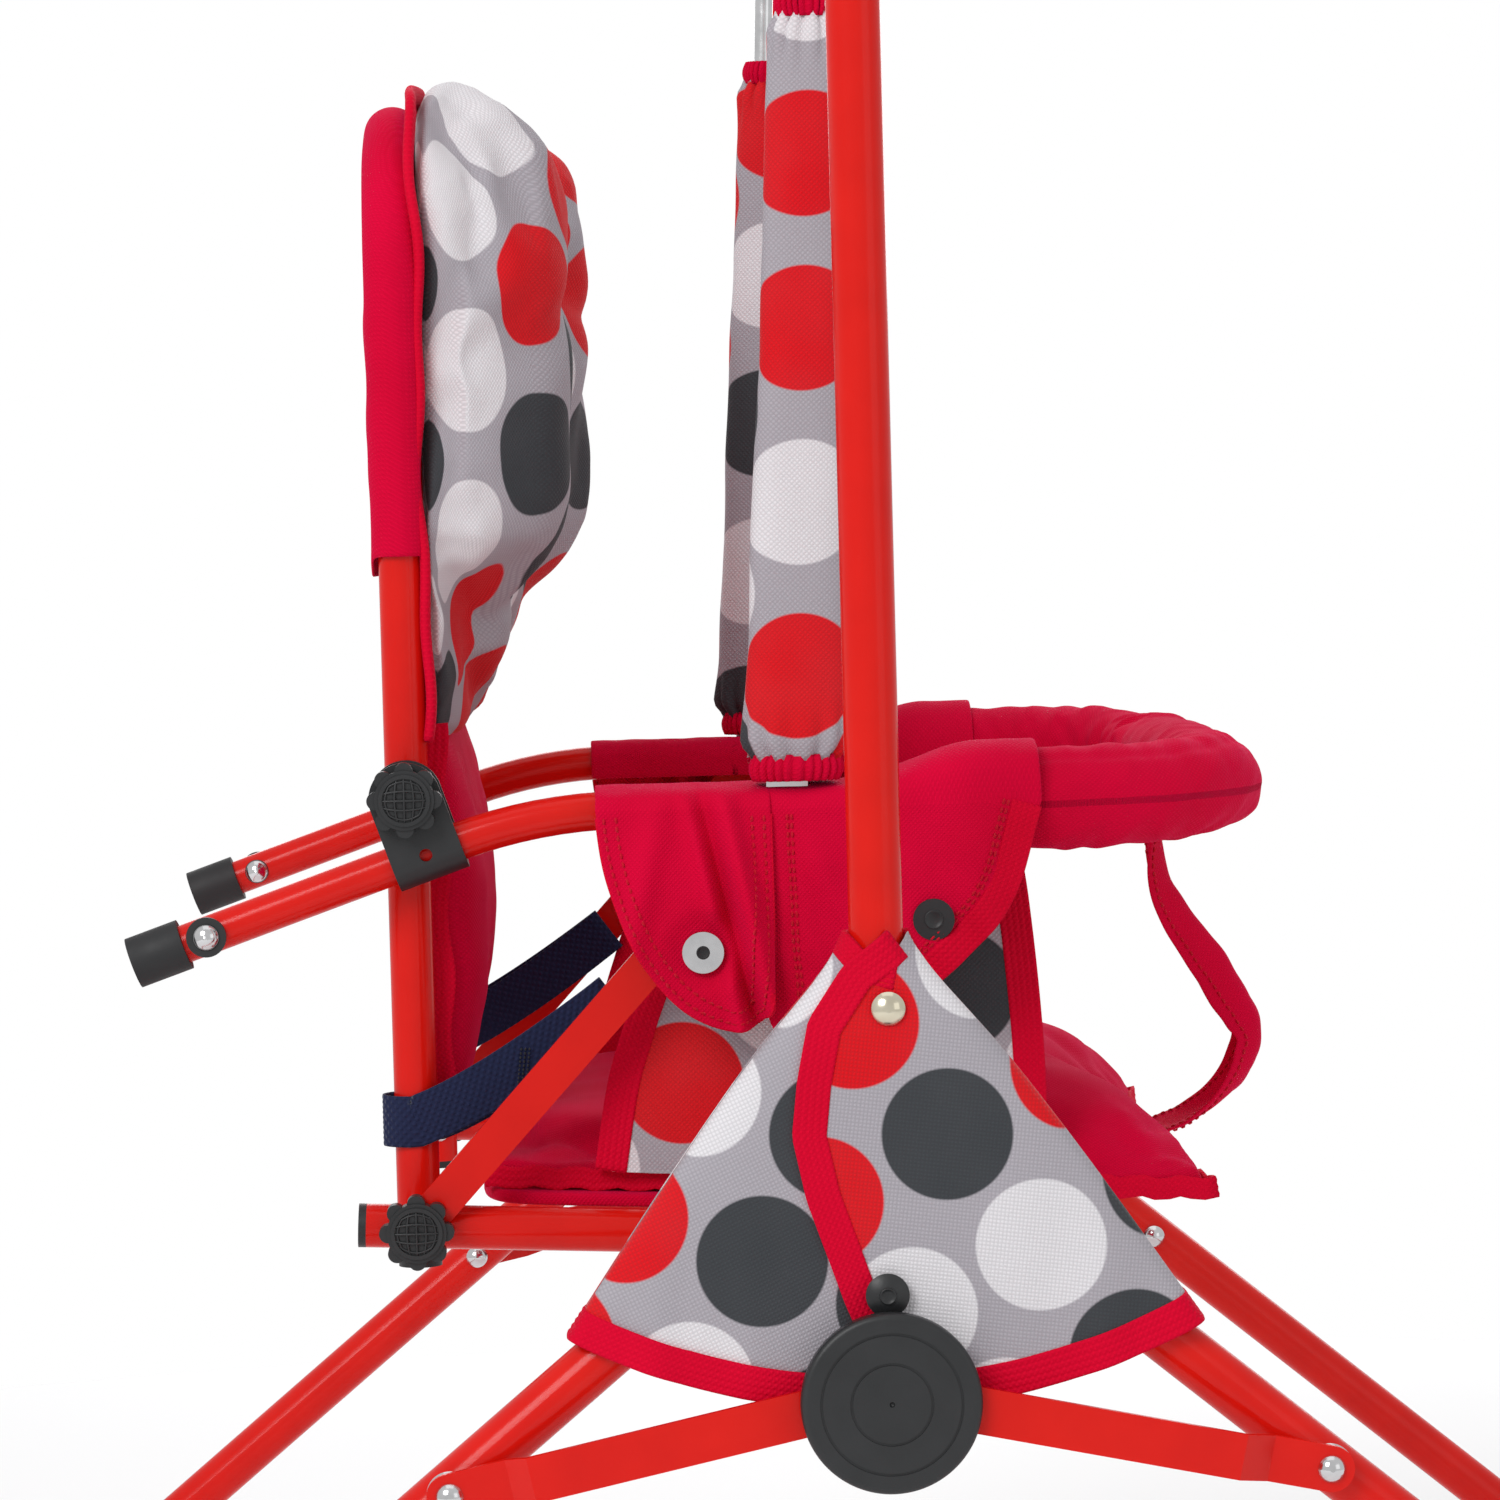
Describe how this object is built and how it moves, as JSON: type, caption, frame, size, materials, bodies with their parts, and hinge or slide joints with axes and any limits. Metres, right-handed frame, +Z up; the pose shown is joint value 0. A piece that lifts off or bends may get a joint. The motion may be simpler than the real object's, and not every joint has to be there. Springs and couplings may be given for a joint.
{
  "type": "swing set",
  "caption": "Folding indoor baby swing: an arched red tube stand with a padded, dotted fabric seat, bumper bar and reclining back.",
  "frame": {"origin": "on the floor under the middle of the stand, between the four feet", "axes": "+X is the way the child faces, +Y is the child's left, +Z is up"},
  "size_m": [0.8976, 0.6636, 1.205],
  "materials": {
    "red_tube": "satin powder coat",
    "steel": "polished plating",
    "dome_snap": "polished",
    "black_plastic": "moulded satin",
    "black_rubber": "matt",
    "dotted_fabric": "woven, printed with large dots",
    "red_fabric": "woven",
    "navy_webbing": "woven webbing",
    "hardboard": "smooth"
  },
  "bodies": {
    "stand": {"post_right": "red_tube", "post_left": "red_tube", "top_bar": "red_tube", "top_bar_screws": "steel", "hanger_brackets": "black_plastic", "hanger_bolts": "steel", "post_plugs": "black_plastic", "leg_brackets": "red_tube", "leg_rivets": "steel", "skirt_right": "dotted_fabric", "skirt_left": "dotted_fabric", "skirt_snaps": "dome_snap"},
    "front_legs": {"front_leg_frame": "red_tube", "front_feet": "black_rubber", "front_link_rivets": "steel"},
    "rear_legs": {"rear_leg_frame": "red_tube", "rear_feet": "black_rubber", "rear_link_rivets": "steel"},
    "front_link_right": {"front_link_right": "red_tube"},
    "front_link_left": {"front_link_left": "red_tube"},
    "rear_link_right": {"rear_link_right": "red_tube"},
    "rear_link_left": {"rear_link_left": "red_tube"},
    "hub_right": {"hub_right": "black_plastic", "hub_cap_right": "black_plastic", "hub_snap_right": "black_plastic"},
    "hub_left": {"hub_left": "black_plastic", "hub_cap_left": "black_plastic", "hub_snap_left": "black_plastic"},
    "swing": {"hanger_right": "steel", "hanger_left": "steel", "sleeve_right": "dotted_fabric", "sleeve_left": "dotted_fabric", "armrest_tube": "red_tube", "armrest_caps": "black_rubber", "armrest_stops": "steel", "bumper_pad": "red_fabric", "side_panels": "dotted_fabric", "rear_flaps": "red_fabric", "front_flaps": "red_fabric", "ring_snaps": "steel", "button_snaps": "black_plastic", "struts": "red_tube", "swing_bolts": "steel", "seat_tube": "red_tube", "seat_plugs": "black_plastic", "seat_board": "hardboard", "seat_cushion": "red_fabric", "crotch_strap": "red_fabric"},
    "backrest": {"backrest_tube": "red_tube", "backrest_plugs": "black_plastic", "backrest_cushion": "dotted_fabric", "back_pocket": "red_fabric", "back_panel": "red_fabric", "webbing_straps": "navy_webbing"},
    "clamp_right": {"clamp_right": "black_plastic"},
    "clamp_left": {"clamp_left": "black_plastic"},
    "clamp_knob_right": {"clamp_knob_right": "black_plastic"},
    "clamp_knob_left": {"clamp_knob_left": "black_plastic"},
    "pivot_knob_right": {"pivot_knob_right": "black_plastic"},
    "pivot_knob_left": {"pivot_knob_left": "black_plastic"}
  },
  "joints": [
    {"name": "swing", "type": "hinge", "parent": "stand", "child": "swing", "pos_m": [0, 0, 1.164], "axis": [0, 1, 0], "range_deg": [-28, 28]},
    {"name": "recline", "type": "hinge", "parent": "swing", "child": "backrest", "pos_m": [-0.174, 0, 0.321], "axis": [0, -1, 0], "range_deg": [0, 18]},
    {"name": "fold", "type": "hinge", "parent": "stand", "child": "front_legs", "pos_m": [0.025, 0, 0.354], "axis": [0, 1, 0], "range_deg": [0, 48]},
    {"name": "rear_fold", "type": "hinge", "parent": "stand", "child": "rear_legs", "pos_m": [-0.025, 0, 0.354], "axis": [0, -1, 0], "range_deg": [0, 48.5]},
    {"name": "hub_slide_right", "type": "slide", "parent": "stand", "child": "hub_right", "axis": [0, 0, 1], "range_m": [0, 0.05607]},
    {"name": "front_link_turn_right", "type": "hinge", "parent": "front_legs", "child": "front_link_right", "pos_m": [0.161, -0.3, 0.24149], "axis": [0, 1, 0], "range_deg": [0, 22.86]},
    {"name": "rear_link_turn_right", "type": "hinge", "parent": "rear_legs", "child": "rear_link_right", "pos_m": [-0.161, -0.3, 0.24149], "axis": [0, -1, 0], "range_deg": [0, 22.86]},
    {"name": "clamp_slide_right", "type": "slide", "parent": "swing", "child": "clamp_right", "axis": [-0.9455, 0, -0.3256], "range_m": [0, 0.05508]},
    {"name": "clamp_knob_turn_right", "type": "hinge", "parent": "clamp_right", "child": "clamp_knob_right", "pos_m": [-0.174, 0, 0.488], "axis": [0, -1, 0], "range_deg": [0, 360]},
    {"name": "pivot_knob_turn_right", "type": "hinge", "parent": "swing", "child": "pivot_knob_right", "pos_m": [-0.174, 0, 0.321], "axis": [0, -1, 0], "range_deg": [0, 360]},
    {"name": "hub_slide_left", "type": "slide", "parent": "stand", "child": "hub_left", "axis": [0, 0, 1], "range_m": [0, 0.05607]},
    {"name": "front_link_turn_left", "type": "hinge", "parent": "front_legs", "child": "front_link_left", "pos_m": [0.161, 0.3, 0.24149], "axis": [0, 1, 0], "range_deg": [0, 22.86]},
    {"name": "rear_link_turn_left", "type": "hinge", "parent": "rear_legs", "child": "rear_link_left", "pos_m": [-0.161, 0.3, 0.24149], "axis": [0, -1, 0], "range_deg": [0, 22.86]},
    {"name": "clamp_slide_left", "type": "slide", "parent": "swing", "child": "clamp_left", "axis": [-0.9455, 0, -0.3256], "range_m": [0, 0.05508]},
    {"name": "clamp_knob_turn_left", "type": "hinge", "parent": "clamp_left", "child": "clamp_knob_left", "pos_m": [-0.174, 0, 0.488], "axis": [0, 1, 0], "range_deg": [0, 360]},
    {"name": "pivot_knob_turn_left", "type": "hinge", "parent": "swing", "child": "pivot_knob_left", "pos_m": [-0.174, 0, 0.321], "axis": [0, 1, 0], "range_deg": [0, 360]}
  ],
  "couplings": [
    {"joint": "rear_fold", "follows": "fold", "ratio": 1},
    {"joint": "hub_slide_right", "follows": "fold", "m_per_rad": 0.066335},
    {"joint": "front_link_turn_right", "follows": "fold", "ratio": 0.46594},
    {"joint": "rear_link_turn_right", "follows": "fold", "ratio": 0.46594},
    {"joint": "clamp_slide_right", "follows": "recline", "m_per_rad": 0.17373},
    {"joint": "hub_slide_left", "follows": "fold", "m_per_rad": 0.066335},
    {"joint": "front_link_turn_left", "follows": "fold", "ratio": 0.46594},
    {"joint": "rear_link_turn_left", "follows": "fold", "ratio": 0.46594},
    {"joint": "clamp_slide_left", "follows": "recline", "m_per_rad": 0.17373}
  ]
}
